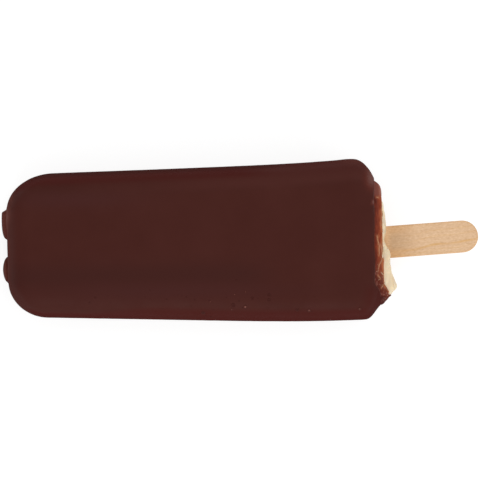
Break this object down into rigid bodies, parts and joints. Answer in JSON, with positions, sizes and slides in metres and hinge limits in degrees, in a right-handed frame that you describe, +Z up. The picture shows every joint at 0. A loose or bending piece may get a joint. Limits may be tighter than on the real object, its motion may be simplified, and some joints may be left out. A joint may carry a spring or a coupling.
{
  "type": "ice cream bar",
  "caption": "Vanilla ice cream bar in a dark chocolate coating, moulded with rounded edges, wider and thicker towards its flat birch stick, bare ice cream round the stick.",
  "frame": {"origin": "under the middle of the whole, on the surface that the bar lies on", "axes": "+X along the bar from its closed tip to its stick, +Y across it, +Z up, out of the broad face that shows"},
  "size_m": [0.1488, 0.0506, 0.0248],
  "materials": {
    "chocolate": "satin",
    "vanilla": "matt",
    "birch": "matt"
  },
  "bodies": {
    "root": {"coating": "chocolate", "ice_cream": "vanilla", "stick": "birch"}
  },
  "joints": []
}
